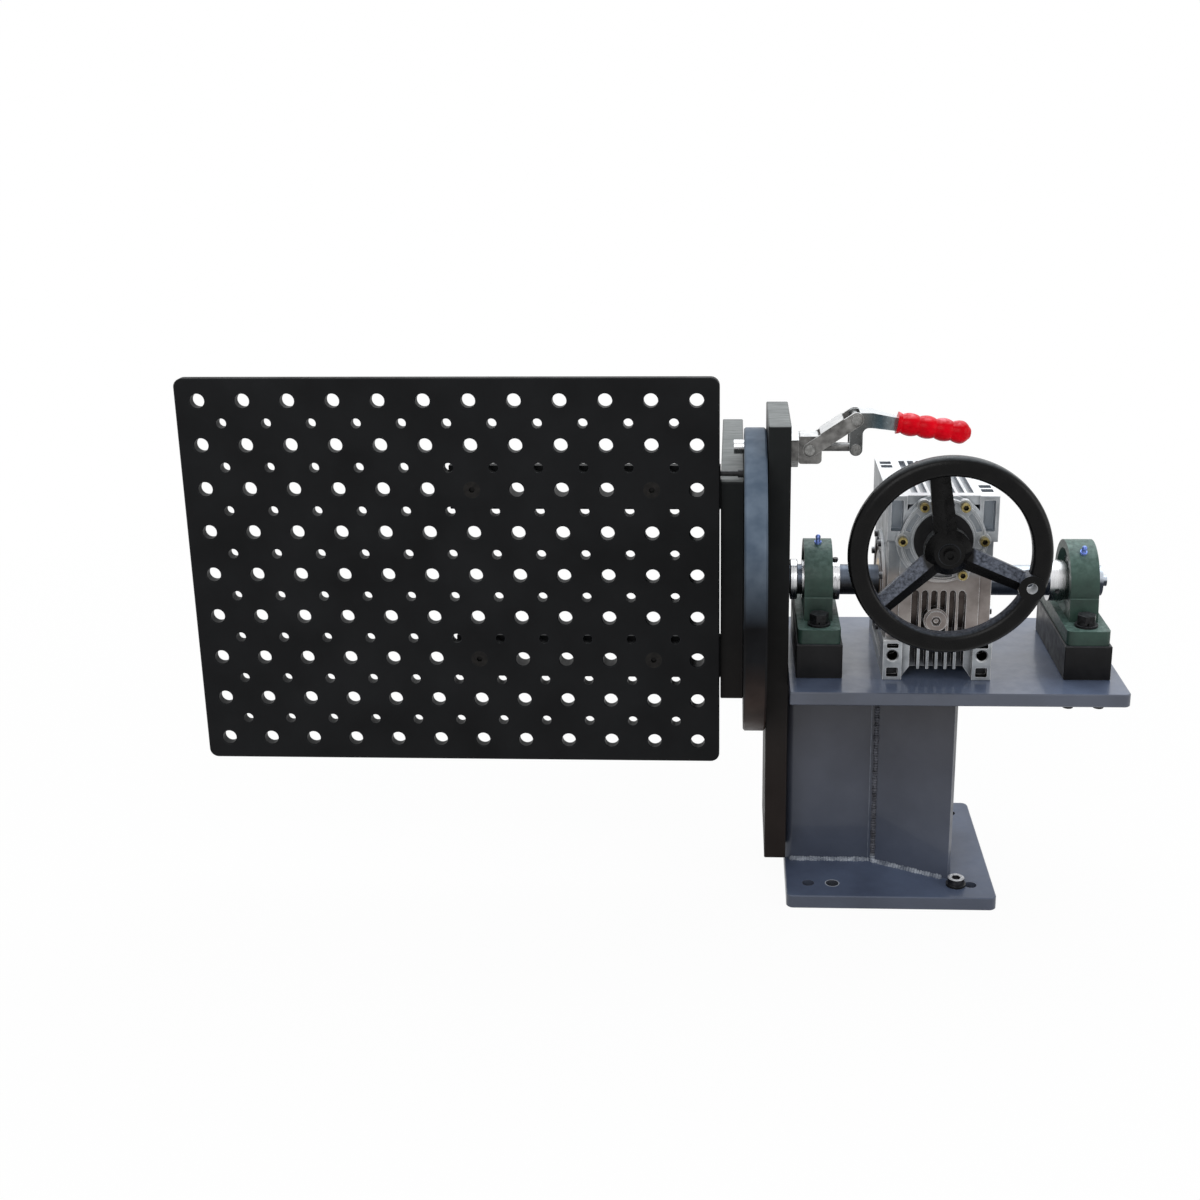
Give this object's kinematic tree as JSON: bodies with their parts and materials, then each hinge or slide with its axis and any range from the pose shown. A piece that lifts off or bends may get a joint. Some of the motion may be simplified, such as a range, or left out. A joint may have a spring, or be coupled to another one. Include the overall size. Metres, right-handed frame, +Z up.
{
  "type": "welding positioner",
  "caption": "Bench welding positioner: a perforated steel table turned about a level shaft by a handwheel and worm gearbox, with a push-pull toggle clamp as its lock.",
  "frame": {"origin": "centre of the base plate's underside, which is also the centre of its four corner bolt holes", "axes": "+Z up, +X along the shaft from the work table to its free end, -Y towards the handwheel and the work table's face"},
  "size_m": [1.05, 0.4605, 0.605],
  "materials": {
    "grey_paint": "satin enamel",
    "black_plate": "matt black oxide",
    "black_screw": "black oxide",
    "black_block": "satin black",
    "green_cast": "painted casting",
    "bearing_steel": "ground",
    "plated_nipple": "blue zinc",
    "gear_aluminium": "shot-blasted casting",
    "plated_screw": "zinc",
    "yellow_zinc": "yellow zinc",
    "black_seal": "matt",
    "dark_shaft": "oiled steel",
    "wheel_bronze": "machined",
    "silver_bush": "turned",
    "black_cast": "gloss black enamel",
    "clamp_steel": "zinc plated",
    "red_grip": "dipped vinyl"
  },
  "bodies": {
    "base": {"base_plate": "grey_paint", "base_washer": "plated_screw", "base_bolt": "plated_screw", "column_tube": "grey_paint", "gussets": "grey_paint", "weld_beads": "grey_paint", "shelf_plate": "grey_paint", "index_plate": "black_plate", "index_plate_screws": "black_screw", "spacer_left": "black_block", "spacer_right": "black_block", "spacer_studs": "black_screw", "spacer_nuts": "black_screw", "pillow_housing_left": "green_cast", "pillow_housing_right": "green_cast", "bearing_outer_left": "bearing_steel", "bearing_outer_right": "bearing_steel", "pillow_washers": "black_screw", "pillow_bolts": "black_screw", "grease_nipples": "plated_nipple", "gearbox_housing": "gear_aluminium", "output_cover_left": "gear_aluminium", "output_cover_right": "gear_aluminium", "output_cover_screws": "plated_screw", "gearbox_bearings": "bearing_steel", "input_flange": "gear_aluminium", "input_flange_screws": "yellow_zinc", "input_seal": "black_seal", "rear_cap": "gear_aluminium", "level_plug": "gear_aluminium", "gearbox_bolts": "plated_screw", "clamp_body": "clamp_steel", "clamp_nut": "clamp_steel", "clamp_pivot_pins": "clamp_steel"},
    "turntable": {"main_shaft": "dark_shaft", "shaft_keys": "dark_shaft", "shaft_ring": "bearing_steel", "bearing_inner_left": "bearing_steel", "bearing_inner_right": "bearing_steel", "bearing_set_screws": "bearing_steel", "worm_wheel": "wheel_bronze", "faceplate_disc": "black_plate", "index_bush": "silver_bush", "disc_screws": "black_screw", "side_plate": "black_plate", "arm_screws": "black_screw", "arm_lower": "black_plate", "arm_upper": "black_plate", "table_plate": "black_plate", "table_bolts": "black_screw"},
    "handwheel_shaft": {"worm_shaft": "dark_shaft", "handwheel": "black_cast", "handwheel_key": "dark_shaft", "handwheel_screw": "black_cast"},
    "clamp_link_body": {"clamp_link": "clamp_steel", "link_rivet": "clamp_steel"},
    "clamp_handle_body": {"clamp_handle": "clamp_steel", "handle_rivets": "clamp_steel", "clamp_grip": "red_grip"},
    "clamp_plunger_body": {"clamp_plunger": "clamp_steel"}
  },
  "joints": [
    {"name": "table_turn", "type": "hinge", "parent": "base", "child": "turntable", "pos_m": [0, 0, 0.358], "axis": [1, 0, 0], "continuous": true},
    {"name": "handwheel_turn", "type": "hinge", "parent": "base", "child": "handwheel_shaft", "pos_m": [0.0445, -0.152, 0.433], "axis": [0, 1, 0], "continuous": true},
    {"name": "clamp_link_swing", "type": "hinge", "parent": "base", "child": "clamp_link_body", "pos_m": [-0.0975, 0, 0.515], "axis": [0, -1, 0], "range_deg": [-18, 5]},
    {"name": "clamp_handle_swing", "type": "hinge", "parent": "clamp_link_body", "child": "clamp_handle_body", "pos_m": [-0.046, 0, 0.5495], "axis": [0, -1, 0], "range_deg": [-19.4, 77.7]},
    {"name": "clamp_plunger_slide", "type": "slide", "parent": "base", "child": "clamp_plunger_body", "axis": [1, 0, 0], "range_m": [-0.0096, 0.0381]}
  ],
  "couplings": [
    {"joint": "handwheel_turn", "follows": "table_turn", "ratio": 30},
    {"joint": "clamp_link_swing", "follows": "clamp_handle_swing", "ratio": -0.2275},
    {"joint": "clamp_plunger_slide", "follows": "clamp_handle_swing", "m_per_rad": 0.02795}
  ]
}
